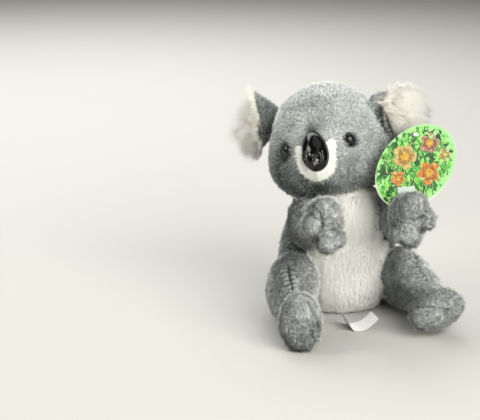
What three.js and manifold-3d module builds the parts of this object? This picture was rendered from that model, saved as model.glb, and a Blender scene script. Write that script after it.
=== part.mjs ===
// A sitting plush koala, about 165 mm tall: a sewn and stuffed body of short grey pile with a white
// belly and muzzle, long white pile in the ears, moulded eyes and nose, a swing tag pinned to one ear
// and a sewn-in label. Millimetres, +Z up. The belly faces -Y, so the toy's own left side is +X.
// The solids reach out to the tips of the pile, and the toy sits on its seat, thighs and heels, which
// are pressed flat at one level.
import * as THREE from "three";
import { mergeVertices } from "three/addons/utils/BufferGeometryUtils.js";
import Module from "manifold-3d";

const wasm = await Module();
wasm.setup();

const { degToRad, radToDeg, lerp, smoothstep } = THREE.MathUtils;
const vec = (x, y, z) => new THREE.Vector3(x, y, z);

// ---- Driving sizes ----
const GAP = 0.3; // between two pieces that touch
const HEAD = { centre: vec(-8, 3, 123), yaw: -28, pitch: 4, roll: -14, up: 41, down: 45 };
const CHEEK = 50; // half the width of the head at the cheeks
const TEMPLE = 40; // and above them
const TORSO = { bottom: -7, top: 97, hips: 45, shoulders: 35, back: 31, belly: 46 };
const LIMB_SINK = 1.5; // how far the stuffed legs are pressed flat by the floor
const CARD_THICK = 0.6;

const GREY = new THREE.MeshStandardMaterial({ color: 0x8c918e, roughness: 0.95, metalness: 0 });
const WHITE = new THREE.MeshStandardMaterial({ color: 0xe9e8dd, roughness: 0.95, metalness: 0 });
const BLACK = new THREE.MeshStandardMaterial({ color: 0x0d0c0c, roughness: 0.12, metalness: 0 });
const CARD = new THREE.MeshStandardMaterial({ color: 0x6fae4e, roughness: 0.4, metalness: 0 });
const SATIN = new THREE.MeshStandardMaterial({ color: 0xe6e5dc, roughness: 0.5, metalness: 0 });
const NYLON = new THREE.MeshStandardMaterial({ color: 0xe8ece8, roughness: 0.3, metalness: 0 });

// ---- From three.js geometry to solids and back ----
function solidOf(geometry) {
  const plain = geometry.clone();
  plain.deleteAttribute("normal");
  plain.deleteAttribute("uv");
  const welded = mergeVertices(plain, 1e-4);
  return new wasm.Manifold(
    new wasm.Mesh({
      numProp: 3,
      vertProperties: new Float32Array(welded.attributes.position.array),
      triVerts: new Uint32Array(welded.index.array),
    }),
  );
}

function meshOf(name, solid, material) {
  const { vertProperties, triVerts } = solid.getMesh();
  const geometry = new THREE.BufferGeometry();
  geometry.setAttribute("position", new THREE.BufferAttribute(vertProperties, 3));
  geometry.setIndex(new THREE.BufferAttribute(triVerts, 1));
  const mesh = new THREE.Mesh(geometry, material);
  mesh.name = name;
  return mesh;
}

const turned = (solid, matrix) => solid.transform(matrix.elements);

// A frame at a place: rolled about its own Y, then pitched about X, then turned about Z, in degrees.
const frameAt = (place, yaw = 0, pitch = 0, roll = 0) =>
  new THREE.Matrix4()
    .makeRotationFromEuler(new THREE.Euler(degToRad(pitch), degToRad(roll), degToRad(yaw), "ZXY"))
    .setPosition(place);

// A ball with its poles on Z, whose every point is put in its place by a function of the unit vector
// to it.
function moulded(around, up, place) {
  const sphere = new THREE.SphereGeometry(1, around, up).rotateX(Math.PI / 2);
  sphere.deleteAttribute("normal");
  sphere.deleteAttribute("uv");
  const welded = mergeVertices(sphere, 1e-4);
  const points = welded.attributes.position;
  const unit = new THREE.Vector3();
  for (let i = 0; i < points.count; i++) {
    const { x, y, z } = place(unit.fromBufferAttribute(points, i).normalize());
    points.setXYZ(i, x, y, z);
  }
  return solidOf(welded);
}

const ellipsoid = (around, up, centre, radii) =>
  moulded(around, up, (n) => n.clone().multiply(radii).add(centre));

// How wide a rounded form is at a share of its half height: 2 is a ball, and more is fuller at the ends.
const fullAt = (share, fullness) => Math.max(0, 1 - Math.abs(share) ** fullness) ** (1 / fullness);

// A bump of height 1 where a direction meets an axis, falling off with the angle between them.
const bump = (n, axis, spread) => Math.exp(-((radToDeg(n.angleTo(axis)) / spread) ** 2));

// A stuffed tube along a curve, with its half width and half height at a share of the way along. Its
// section leans to one side by an angle in degrees.
function stuffedTube(around, up, curve, width, height, fullness, lean = 0) {
  return moulded(around, up, (n) => {
    const along = (n.z + 1) / 2;
    const ring = fullAt(n.z, fullness);
    const round = Math.hypot(n.x, n.y) || 1;
    const tangent = curve.getTangent(along);
    const level = vec(0, 0, 1).cross(tangent).normalize();
    const side = level.applyAxisAngle(tangent, degToRad(lean));
    const top = tangent.clone().cross(side);
    return curve
      .getPoint(along)
      .addScaledVector(side, (n.x / round) * ring * width(along))
      .addScaledVector(top, (n.y / round) * ring * height(along));
  });
}

const FLOOR = solidOf(new THREE.BoxGeometry(400, 400, 60).translate(0, 0, -30));
const onFloor = (solid) => solid.subtract(FLOOR);

// ---- Head ----
// Full at the jowls, narrower at the temples, with a low forehead that slopes down to the short snout.
const headFrame = frameAt(HEAD.centre, HEAD.yaw, HEAD.pitch, HEAD.roll);
const SNOUT = { axis: vec(0, -1, -0.22).normalize(), reach: 15, spread: 27 };
const EYE = { side: 23.3, forward: 32, up: 2.7, half: vec(4.5, 3.4, 4.5), proud: 1.6 };
const sockets = [1, -1].map((side) => vec(side * EYE.side, -EYE.forward, EYE.up).normalize());

function headPoint(n) {
  const ring = fullAt(n.z, n.z > 0 ? 2.15 : 2.6);
  const round = Math.hypot(n.x, n.y) || 1;
  const wide = lerp(CHEEK, TEMPLE, smoothstep(n.z, -0.5, 0.5));
  const deep = n.y > 0 ? 40 : lerp(41, 36, smoothstep(n.z, -0.4, 0.2));
  const tall = n.z > 0 ? HEAD.up : HEAD.down;
  const base = vec((n.x / round) * ring * wide, (n.y / round) * ring * deep, n.z * tall);
  const snout = SNOUT.reach * bump(n, SNOUT.axis, SNOUT.spread);
  const dents = sockets.reduce((sum, socket) => sum + 1.5 * bump(n, socket, 9), 0);
  return base.setLength(base.length() + snout - dents);
}

function headSolid(grow = 0) {
  const swollen = (point) => point.setLength(point.length() + grow);
  return turned(moulded(28, 18, (n) => swollen(headPoint(n))), headFrame);
}

// The point of the head's surface that lies in a direction from its centre, found in a few steps.
function onHead(direction) {
  const n = direction.clone();
  for (let step = 0; step < 20; step++) {
    const miss = direction.clone().sub(headPoint(n).normalize());
    n.addScaledVector(miss, 0.7).normalize();
  }
  return headPoint(n);
}

// The white patch on the snout is a shield with two upper corners, set in behind the nose.
function muzzleCutter(grow) {
  const wide = 15 + grow;
  const top = 8 + grow;
  const bottom = -23 - grow;
  const outline = new THREE.Shape();
  outline.moveTo(-wide, top);
  outline.bezierCurveTo(-wide - 1, -8, 4 - wide, bottom, 0, bottom);
  outline.bezierCurveTo(wide - 4, bottom, wide + 1, -8, wide, top);
  outline.closePath();
  const prism = new THREE.ExtrudeGeometry(outline, { depth: 60, bevelEnabled: false, curveSegments: 8 });
  prism.rotateX(Math.PI / 2).translate(0, -30 + grow, 0);
  return turned(solidOf(prism), headFrame);
}

// The nose is an egg on a slope, its thick end low and forward. It and the eyes are set into the head.
function noseSolid(grow) {
  const lean = frameAt(vec(0, -43.5, 2.5), 0, -39, -6);
  const egg = moulded(16, 10, (n) => {
    const taper = 1 - 0.16 * n.z;
    const half = vec(9.6 * taper + grow, 8.5 * taper + grow, 15.8 + grow);
    return n.clone().multiply(half).applyMatrix4(lean);
  });
  return turned(egg, headFrame);
}

function eyeSolid(socket, grow) {
  const top = onHead(socket);
  const turn = radToDeg(Math.atan2(socket.x, -socket.y));
  const centre = top.setLength(top.length() + EYE.proud - EYE.half.y);
  const bead = ellipsoid(10, 6, vec(0, 0, 0), EYE.half.clone().addScalar(grow));
  return turned(turned(bead, frameAt(centre, turn)), headFrame);
}

// ---- Ears ----
// A round cup of grey pile on each side of the head, and the long white pile that fills its open face.
const EAR = { radius: 21.5, pile: 18, root: 21, tilt: -8 };
const EARS = {
  left: { place: vec(56.5, 9, 4), faces: 58 },
  right: { place: vec(-52, 12, 21), faces: -76 },
};

// The left ear is sewn on further forward, so its root runs along the crown.
const CROWN_ROOT = { centre: vec(26.4, -10.5, 148.5), rise: 24, radii: vec(15, 9, 9) };

function onEar(solid, name) {
  const { place, faces } = EARS[name];
  return turned(turned(solid, frameAt(place, faces, EAR.tilt, 0)), headFrame);
}

function earCup(name) {
  const cup = moulded(15, 9, (n) => {
    const flare = n.y > 0 ? 1 - 0.45 * n.y : 1;
    return vec(n.x * EAR.radius * flare, n.y > 0 ? n.y * EAR.root : n.y * 2.5, n.z * EAR.radius * flare);
  });
  if (name === "right") return onEar(cup, name);
  const { centre, rise, radii } = CROWN_ROOT;
  const root = ellipsoid(12, 8, vec(0, 0, 0), radii);
  return onEar(cup, name).add(turned(root, frameAt(centre, 0, 0, -rise)));
}

function earPile(name) {
  const dome = moulded(16, 10, (n) => {
    const deep = n.y < 0 ? EAR.pile : 3;
    return vec(n.x * (EAR.radius + 0.5), n.y * deep - 1, n.z * (EAR.radius + 2) - 2);
  });
  return onEar(dome, name);
}

// ---- Torso ----
function torsoSolid(grow = 0) {
  const middle = (TORSO.top + TORSO.bottom) / 2;
  const half = (TORSO.top - TORSO.bottom) / 2 + grow;
  return moulded(24, 15, (n) => {
    const z = middle + n.z * half;
    const round = Math.hypot(n.x, n.y) || 1;
    const ring = fullAt(n.z, lerp(3.5, 2.2, smoothstep(n.y / round, -1, 1)));
    const wide = lerp(TORSO.hips, TORSO.shoulders, smoothstep(z, 30, 85)) + grow;
    const deep = (n.y > 0 ? TORSO.back : TORSO.belly) + grow;
    return vec((n.x / round) * ring * wide, (n.y / round) * ring * deep, z);
  });
}

// The white panel runs from the chin to the seat and is widest over the belly.
function bellyCutter(grow) {
  const outline = new THREE.Shape();
  outline.moveTo(14 + grow, -10);
  outline.bezierCurveTo(36 + grow, 20, 34 + grow, 60, 22 + grow, 112);
  outline.lineTo(-22 - grow, 112);
  outline.bezierCurveTo(-34 - grow, 60, -36 - grow, 20, -14 - grow, -10);
  outline.closePath();
  const prism = new THREE.ExtrudeGeometry(outline, { depth: 70, bevelEnabled: false, curveSegments: 12 });
  prism.rotateX(Math.PI / 2).translate(0, -12 + grow, 0);
  return solidOf(prism);
}

// ---- Arms and paws ----
// Each arm is a thick cone held forward. Stitched creases draw its end into a mitten of soft lobes,
// listed here as outwards, forwards and upwards from the middle of the paw.
const LOBES = [
  { at: vec(0, -2, 0.5), radii: vec(14.5, 17, 17.5) },
  { at: vec(0, 6.5, 9.5), radii: vec(12.5, 11, 11.5) },
  { at: vec(8.5, 8, 1.5), radii: vec(8.5, 9, 9.5) },
  { at: vec(-1.5, 6.5, -11), radii: vec(9.5, 9.5, 9) },
  { at: vec(-9, 4, -9), radii: vec(7, 9, 7.5) },
];

function armSolid(side, paw) {
  const shoulder = vec(side * 27, -8, 70);
  const elbow = vec(side * 36, -36, 66);
  const curve = new THREE.QuadraticBezierCurve3(shoulder, elbow, paw);
  const width = (t) => lerp(15, 13.5, t);
  const height = (t) => lerp(23, 16, smoothstep(t, 0, 0.8));
  return stuffedTube(16, 10, curve, width, height, 3);
}

function pawSolid(side, paw, yaw) {
  const lobes = LOBES.map(({ at, radii }, i) =>
    ellipsoid(i ? 9 : 12, i ? 6 : 9, vec(side * at.x, -at.y, at.z), radii),
  );
  const joined = lobes.reduce((made, lobe) => made.add(lobe));
  return turned(joined, frameAt(paw, yaw, 0, 0));
}

// ---- Legs and feet ----
// Each leg is a round haunch that narrows to the ankle, with the foot turned up at its end.
const HIP = vec(33, -5, 24);
const FOOT = { half: vec(15.5, 19, 21), front: 10 };
const SOLE_AHEAD = 6; // from the middle of the foot

function legSolid(side, foot, lean) {
  const hip = vec(side * HIP.x, HIP.y, HIP.z - LIMB_SINK);
  const knee = hip.clone().lerp(foot, 0.5).setZ(27).add(vec(side * 8, 0, 0));
  const curve = new THREE.QuadraticBezierCurve3(hip, knee, foot);
  const width = (t) => lerp(21, 14, smoothstep(t, 0.1, 0.9));
  const height = (t) => lerp(26, 15, smoothstep(t, 0.35, 0.85));
  return stuffedTube(16, 10, curve, width, height, 2.8, side * lean);
}

function footSolid(frame, grow = 0) {
  const foot = moulded(16, 11, (n) => {
    const long = n.y < 0 ? FOOT.front : FOOT.half.y;
    const p = vec(n.x * FOOT.half.x, n.y * long, n.z * FOOT.half.z);
    return p.setLength(p.length() + grow);
  });
  return turned(foot, frame);
}

// The sole is the round of cloth over the lower front of the foot. It faces ahead and down by a slope.
function soleCutter(frame, slope, grow) {
  const ahead = vec(0, -1, 0).transformDirection(frame).add(vec(0, 0, -slope)).normalize();
  const turn = new THREE.Quaternion().setFromUnitVectors(vec(0, -1, 0), ahead);
  const aim = new THREE.Matrix4().makeRotationFromQuaternion(turn).copyPosition(frame);
  const block = new THREE.BoxGeometry(60, 40, 60).translate(0, -20 - SOLE_AHEAD + grow, 0);
  return turned(solidOf(block), aim);
}

// ---- Swing tag ----
// An oval card hung by a hole from a nylon pin in the left ear. Its long axis leans, because the hole
// is punched near the middle of one long side. Its lower edge rests between the left arm and the head.
const TAG = { place: vec(41, -49, 111), pitch: -12, roll: 50, wide: 25, tall: 33.5, hole: 22 };
const tagFrame = frameAt(TAG.place, 0, TAG.pitch, 0);
const PIN = { radius: 0.5, hole: 1.6, head: 1.5 };

function tagOval(grow) {
  const lean = -degToRad(TAG.roll);
  return new THREE.Shape().absellipse(0, 0, TAG.wide + grow, TAG.tall + grow, 0, 2 * Math.PI, true, lean);
}

function tagRoom() {
  const depth = CARD_THICK + 2 * GAP;
  const slab = new THREE.ExtrudeGeometry(tagOval(GAP), { depth, bevelEnabled: false, curveSegments: 12 });
  return turned(solidOf(slab.rotateX(Math.PI / 2).translate(0, GAP, 0)), tagFrame);
}

function tagSolid() {
  const oval = tagOval(0);
  oval.holes.push(new THREE.Path().absellipse(0, TAG.hole, PIN.hole, PIN.hole, 0, 2 * Math.PI));
  const settings = { depth: CARD_THICK, bevelEnabled: false, curveSegments: 12 };
  const leaf = new THREE.ExtrudeGeometry(oval, settings).rotateX(Math.PI / 2);
  return turned(solidOf(leaf), tagFrame);
}

// The pin is one nylon moulding: a round head in front of the card, and a filament through it into
// the ear.
function pinSolid() {
  const ends = [vec(0, -2, TAG.hole), vec(0, 6, TAG.hole), vec(4, 9, TAG.hole + 1)];
  const towardsEar = new THREE.QuadraticBezierCurve3(...ends);
  const section = new THREE.Shape().absellipse(0, 0, PIN.radius, PIN.radius, 0, 2 * Math.PI);
  const options = { extrudePath: towardsEar, steps: 6, curveSegments: 3 };
  const filament = solidOf(new THREE.ExtrudeGeometry(section, options));
  const head = ellipsoid(8, 5, vec(0, -2.2, TAG.hole), vec(PIN.head + 0.8, 0.8, PIN.head));
  return turned(filament.add(head), tagFrame);
}

// ---- Care label ----
// A white satin ribbon from the seam under the belly. It comes down on the toy's right, lies on the
// floor and curls up at its free end.
const LABEL = { place: vec(-14, -56.5, 0), wide: 16, span: 22, thick: 0.8, steps: 12 };
LABEL.fall = { height: 9, share: 0.25 };
LABEL.curl = { height: 8, share: 0.6 };

function labelSolid() {
  const { fall, curl, steps, thick, span } = LABEL;
  const height = (t) =>
    fall.height * Math.max(0, 1 - t / fall.share) ** 2 +
    curl.height * Math.max(0, 1 - (1 - t) / curl.share) ** 2;
  const shares = Array.from({ length: steps + 1 }, (_, i) => i / steps);
  const lower = shares.map((t) => new THREE.Vector2(t * span, height(t)));
  const upper = shares.map((t) => new THREE.Vector2(t * span, height(t) + thick)).reverse();
  const edge = new THREE.Shape([...lower, ...upper]);
  const ribbon = new THREE.ExtrudeGeometry(edge, { depth: LABEL.wide, bevelEnabled: false });
  return turned(solidOf(ribbon.rotateX(Math.PI / 2)), frameAt(LABEL.place));
}

// ---- Assembly ----
const toy = new THREE.Group();
const headRoom = headSolid(GAP);
const torsoRoom = torsoSolid(GAP);
const seats = [noseSolid(GAP), ...sockets.map((socket) => eyeSolid(socket, GAP))];
const head = seats.reduce((made, seat) => made.subtract(seat), headSolid());
const torso = onFloor(torsoSolid().subtract(headRoom));

toy.add(meshOf("head", head.subtract(muzzleCutter(GAP)), GREY));
toy.add(meshOf("muzzle", head.intersect(muzzleCutter(0)), WHITE));
toy.add(meshOf("nose", noseSolid(0), BLACK));
toy.add(meshOf("torso", torso.subtract(bellyCutter(GAP)), GREY));
toy.add(meshOf("belly", torso.intersect(bellyCutter(0)), WHITE));

const SIDES = [
  {
    name: "left",
    side: 1,
    paw: { at: vec(27, -76, 81), yaw: -4 },
    foot: { at: vec(43, -94, 17.5), turn: [12, 30, 72], slope: 0.25 },
    lean: 24,
  },
  {
    name: "right",
    side: -1,
    paw: { at: vec(-35.5, -79, 82), yaw: -10 },
    foot: { at: vec(-55.5, -95, 19), turn: [-14, -10, 0], slope: 0.65 },
    lean: 10,
  },
];

SIDES.forEach(({ name, side, paw, foot, lean }, i) => {
  toy.add(meshOf(`eye_${name}`, eyeSolid(sockets[i], 0), BLACK));
  const pile = earPile(name).subtract(headRoom);
  toy.add(meshOf(`ear_${name}`, earCup(name).subtract(headRoom).subtract(pile), GREY));
  toy.add(meshOf(`ear_pile_${name}`, pile, WHITE));

  const hand = pawSolid(side, paw.at, paw.yaw).subtract(tagRoom());
  const arm = armSolid(side, paw.at).subtract(torsoRoom).subtract(headRoom).subtract(tagRoom());
  toy.add(meshOf(`arm_${name}`, arm.subtract(pawSolid(side, paw.at, paw.yaw)), GREY));
  toy.add(meshOf(`paw_${name}`, hand, GREY));

  const frame = frameAt(foot.at, ...foot.turn);
  const made = onFloor(footSolid(frame));
  const limb = onFloor(legSolid(side, foot.at, lean));
  const leg = limb.subtract(torsoRoom).subtract(footSolid(frame, GAP));
  toy.add(meshOf(`leg_${name}`, leg, GREY));
  toy.add(meshOf(`foot_${name}`, made.subtract(soleCutter(frame, foot.slope, GAP)), GREY));
  toy.add(meshOf(`sole_${name}`, made.intersect(soleCutter(frame, foot.slope, 0)), GREY));
});

toy.add(meshOf("swing_tag", tagSolid(), CARD));
toy.add(meshOf("tag_pin", pinSolid(), NYLON));
toy.add(meshOf("care_label", labelSolid().subtract(torsoRoom), SATIN));

// The origin is under the middle of the toy, on the surface that it sits on.
const middle = new THREE.Box3().setFromObject(toy).getCenter(new THREE.Vector3());
toy.position.set(-middle.x, -middle.y, 0);

export default toy;
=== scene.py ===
"""A sitting plush koala: stuffed skin, coat of pile, moulded eyes and nose, swing tag and care label."""

from math import cos, pi, radians, sin

import bpy
import numpy as np
from mathutils import Euler, Matrix, Vector
from mathutils.bvhtree import BVHTree
from mathutils.kdtree import KDTree


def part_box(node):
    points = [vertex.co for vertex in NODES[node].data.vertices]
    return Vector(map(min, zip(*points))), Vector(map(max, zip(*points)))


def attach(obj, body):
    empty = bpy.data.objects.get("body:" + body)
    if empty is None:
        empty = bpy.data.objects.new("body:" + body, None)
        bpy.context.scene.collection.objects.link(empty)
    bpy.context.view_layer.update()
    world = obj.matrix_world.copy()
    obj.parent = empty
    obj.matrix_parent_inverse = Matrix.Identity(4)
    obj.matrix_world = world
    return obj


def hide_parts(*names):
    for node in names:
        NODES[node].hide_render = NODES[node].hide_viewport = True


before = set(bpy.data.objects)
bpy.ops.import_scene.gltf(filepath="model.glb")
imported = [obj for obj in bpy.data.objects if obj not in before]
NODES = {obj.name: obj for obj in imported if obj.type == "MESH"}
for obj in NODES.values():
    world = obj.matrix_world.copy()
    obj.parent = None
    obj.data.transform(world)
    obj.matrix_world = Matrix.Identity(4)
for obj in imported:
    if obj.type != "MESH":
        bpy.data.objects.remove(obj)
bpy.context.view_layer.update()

# ---- Camera ----
# A short telephoto a little above the toy and to its right. It takes in FRAME_WIDTH metres where the toy
# sits, and the seat shows ASIDE of that width right of the middle and BELOW of it under the middle.
AZIMUTH = radians(-13.5)
ELEVATION = radians(14.9)
DISTANCE = 0.918
LENS = 91
SENSOR = 36
FRAME_WIDTH = DISTANCE * SENSOR / LENS
SEAT = Vector((0, 0.0225, 0))
ASIDE = 0.2
BELOW = 0.183

back = Vector((sin(AZIMUTH) * cos(ELEVATION), -cos(AZIMUTH) * cos(ELEVATION), sin(ELEVATION)))
turn = (-back).to_track_quat("-Z", "Y")
right, up = turn @ Vector((1, 0, 0)), turn @ Vector((0, 1, 0))
camera = bpy.data.objects.new("camera", bpy.data.cameras.new("camera"))
camera.data.lens = LENS
camera.data.sensor_width = SENSOR
camera.rotation_mode = "QUATERNION"
camera.rotation_quaternion = turn
camera.location = SEAT + back * DISTANCE + (up * BELOW - right * ASIDE) * FRAME_WIDTH
bpy.context.collection.objects.link(camera)
bpy.context.scene.camera = camera
bpy.context.scene.view_settings.view_transform = "Standard"

# ---- Floor and light ----
# A pale paper sweep with no horizon, a large soft box ahead and to the right, weak ones ahead on the left, on
# the far left and above, a small spot on the far ear and a lamp over the paper behind the toy.
CHEST = (0, 0, 0.08)
FAR_EAR = (-0.058, 0.062, 0.128)


def linear(code):
    """A colour given as sRGB hex, as linear red, green, blue and alpha."""
    parts = [int(code[i : i + 2], 16) / 255 for i in (1, 3, 5)]
    return [p / 12.92 if p <= 0.04045 else ((p + 0.055) / 1.055) ** 2.4 for p in parts] + [1]


def feed(tree, socket, term):
    """Gives a socket a value, a hex colour, an output, or a node, which stands for its first live output."""
    if isinstance(term, bpy.types.Node):
        term = next(output for output in term.outputs if output.enabled)
    if isinstance(term, bpy.types.NodeSocket):
        tree.links.new(term, socket)
    else:
        socket.default_value = linear(term) if isinstance(term, str) else term


def node(tree, kind, *terms, stops=(), **settings):
    """Adds a shader node. Terms feed its inputs in order, settings name its properties or the inputs that
    they feed, and stops are a colour ramp's, each a place and a hex colour."""
    made = tree.nodes.new("ShaderNode" + kind)
    for name in [name for name in settings if hasattr(made, name)]:
        setattr(made, name, settings.pop(name))
    for socket, term in zip(made.inputs, terms):
        feed(tree, socket, term)
    for name, term in settings.items():
        feed(tree, made.inputs[name.replace("_", " ")], term)
    for _ in stops[2:]:
        made.color_ramp.elements.new(0.5)
    for i, (at, code) in enumerate(stops):
        mark = made.color_ramp.elements[i]
        mark.position, mark.color = at, linear(code)
    return made


def material(name):
    """A new material with no nodes yet, and its node tree."""
    made = bpy.data.materials.new(name)
    made.use_nodes = True
    made.node_tree.nodes.clear()
    return made, made.node_tree


def clouded(name, scale, detail, tints, **finish):
    """A material whose colour drifts between two tints in soft clouds."""
    made, tree = material(name)
    place = node(tree, "TexCoord").outputs["Object"]
    cloud = node(tree, "TexNoise", place, Scale=scale, Detail=detail)
    tint = node(tree, "ValToRGB", cloud, stops=tints)
    node(tree, "OutputMaterial", node(tree, "BsdfPrincipled", tint, **finish))
    return made


# Matt background paper, too even to show its fibres at this distance.
matt_paper = clouded("matt_paper", 1.2, 1.0, ((0, "#bdbbb5"), (1, "#c2c1bc")), Roughness=0.8)
bpy.ops.mesh.primitive_plane_add(size=14)
floor = bpy.context.object
floor.name = "floor"
floor.data.materials.append(matt_paper)


def lamp(name, kind, place, aim, power, colour="#ffffff", **settings):
    """A lamp that shines from its place at its aim. Settings are its light's own, such as its size."""
    light = bpy.data.lights.new(name, kind)
    light.energy = power
    light.color = linear(colour)[:3]
    for setting, value in settings.items():
        setattr(light, setting, value)
    made = bpy.data.objects.new(name, light)
    made.location = place
    made.rotation_euler = (Vector(aim) - made.location).to_track_quat("-Z", "Y").to_euler()
    bpy.context.collection.objects.link(made)


lamp("key", "AREA", (0.38, -1.05, 0.7), CHEST, 26, "#fffdf8", size=1.15)
lamp("fill", "AREA", (-0.75, -1.0, 0.6), CHEST, 1.6, "#f6f8ff", size=0.5)
lamp("top", "AREA", (0.1, -0.1, 1.4), CHEST, 2, size=1.0)
lamp("side", "AREA", (-1.0, 0.1, 0.75), CHEST, 5.5, "#fffdf6", size=0.5)
beam = {"spot_size": radians(15), "spot_blend": 1, "shadow_soft_size": 0.06}
lamp("ear_spot", "SPOT", (-0.6, -0.1, 0.4), FAR_EAR, 5, **beam)
lamp("sweep_light", "AREA", (-0.15, 1.2, 1.2), (-0.15, 1.2, 0), 31, size=1.5)
world = bpy.data.worlds.new("studio")
bpy.context.scene.world = world
world.use_nodes = True
world.node_tree.nodes["Background"].inputs["Color"].default_value = linear("#f4f4f2")
world.node_tree.nodes["Background"].inputs["Strength"].default_value = 0.08

# ---- Skin ----
# The sewn and stuffed body: one closed form from all the soft nodes, which lies below the tips of the pile
# by the pile's depth. Deep places between the pieces, where the stitches pull, are drawn in further.
MM = 0.001
SIDES = ("left", "right")
PAIRS = ("ear", "arm", "paw", "leg", "foot", "sole")
GREY_NODES = ["head", "torso"] + [f"{part}_{side}" for part in PAIRS for side in SIDES]
WHITE_NODES = ["muzzle", "belly"]
FILLERS = ["nose", "eye_left", "eye_right"]
PILE_DEPTH = 1.9 * MM
OVERLAP = 0.25 * MM
SKIN_GRID = 1.15 * MM


def only(*objs):
    """Selects these objects alone, the last one active."""
    bpy.ops.object.select_all(action="DESELECT")
    for obj in objs:
        obj.select_set(True)
    bpy.context.view_layer.objects.active = objs[-1]


def welded(name):
    """A copy of a CAD node, free of the frame, with its loose triangles joined."""
    twin = NODES[name].copy()
    twin.data = NODES[name].data.copy()
    twin.data.materials.clear()
    twin.parent = None
    twin.matrix_world = Matrix()
    twin.hide_render = False
    bpy.context.collection.objects.link(twin)
    only(twin)
    bpy.ops.object.mode_set(mode="EDIT")
    bpy.ops.mesh.select_all(action="SELECT")
    bpy.ops.mesh.remove_doubles(threshold=0.01 * MM)
    bpy.ops.mesh.normals_make_consistent(inside=False)
    bpy.ops.object.mode_set(mode="OBJECT")
    return twin


def modify(obj, kind, **settings):
    """Adds a modifier to an object and applies it."""
    only(obj)
    step = obj.modifiers.new(kind.lower(), kind)
    for name, value in settings.items():
        setattr(step, name, value)
    bpy.ops.object.modifier_apply(modifier=step.name)


def places(mesh):
    """The places of a mesh's vertices, one row each."""
    flat = np.empty(len(mesh.vertices) * 3)
    mesh.vertices.foreach_get("co", flat)
    return flat.reshape(-1, 3)


def move_to(mesh, points):
    """Puts a mesh's vertices at these places."""
    mesh.vertices.foreach_set("co", points.ravel())
    mesh.update()


def normals(mesh):
    """The normals of a mesh's vertices, one row each."""
    flat = np.empty(len(mesh.vertices) * 3)
    mesh.vertex_normals.foreach_get("vector", flat)
    return flat.reshape(-1, 3)


def waves(points, size, seed):
    """Three smooth random values at each point, mostly from -1 to 1, that vary over a length of size."""
    draw = np.random.default_rng(seed)
    total = np.zeros((len(points), 3))
    for _ in range(9):
        way = draw.normal(size=(3, 3))
        way *= draw.uniform(0.5, 1.5, (3, 1)) * 2 * pi / size / np.linalg.norm(way, axis=1, keepdims=True)
        total += np.sin(points @ way.T + draw.uniform(0, 2 * pi, 3))
    return total / 3


def tree_of(name):
    """A search tree over a CAD node's surface."""
    mesh = NODES[name].data
    return BVHTree.FromPolygons([v.co for v in mesh.vertices], [p.vertices for p in mesh.polygons])


stuffed = [welded(name) for name in GREY_NODES + WHITE_NODES + FILLERS]
for piece in stuffed:
    modify(piece, "DISPLACE", strength=OVERLAP, mid_level=0)
only(*stuffed)
bpy.ops.object.join()
skin = bpy.context.object
skin.name = skin.data.name = "skin"
skin.data.remesh_voxel_size = SKIN_GRID
bpy.ops.object.voxel_remesh()
modify(skin, "SMOOTH", factor=0.5, iterations=3)


def edge_ends(mesh):
    """The numbers of the points at the two ends of each of a mesh's edges, one row for each end."""
    ends = np.empty(len(mesh.edges) * 2, int)
    mesh.edges.foreach_get("vertices", ends)
    return ends.reshape(-1, 2).T


def edge_means(mesh, to_one, to_two):
    """For each point of a mesh, the mean of the rows that its edges bring to their first and second ends."""
    one, two = edge_ends(mesh)
    size = len(mesh.vertices)
    count = np.bincount(one, minlength=size) + np.bincount(two, minlength=size)
    total = [np.bincount(one, a, size) + np.bincount(two, b, size) for a, b in zip(to_one.T, to_two.T)]
    return np.stack(total, 1) / count[:, None]


def relaxed(mesh, points, rounds):
    """The points, each drawn again and again to the middle of its neighbours along the mesh's edges."""
    one, two = edge_ends(mesh)
    for _ in range(rounds):
        points = edge_means(mesh, points[two], points[one])
    return points


def slope(mesh, values):
    """At each point of a mesh, the way in which these values rise, as long as they rise per metre."""
    one, two = edge_ends(mesh)
    span = places(mesh)[two] - places(mesh)[one]
    rise = ((values[two] - values[one]) / (span**2).sum(1))[:, None] * span
    return 2 * edge_means(mesh, rise, rise)


# Where the surface is hollow, between fingers and where the limbs and head are sewn on, it is drawn in.
CREASE_ROUNDS = 6
CREASE_LEAST = 0.1 * MM
CREASE_SPAN = 0.32 * MM
CREASE_DEPTH = 1.2 * MM
outer, outward = places(skin.data), normals(skin.data)
body = BVHTree.FromPolygons(outer, [p.vertices for p in skin.data.polygons])
hollow = ((relaxed(skin.data, outer, CREASE_ROUNDS) - outer) * outward).sum(1)
crease = np.clip((hollow - CREASE_LEAST) / CREASE_SPAN, 0, 1)
depth = PILE_DEPTH + crease * CREASE_DEPTH

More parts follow.
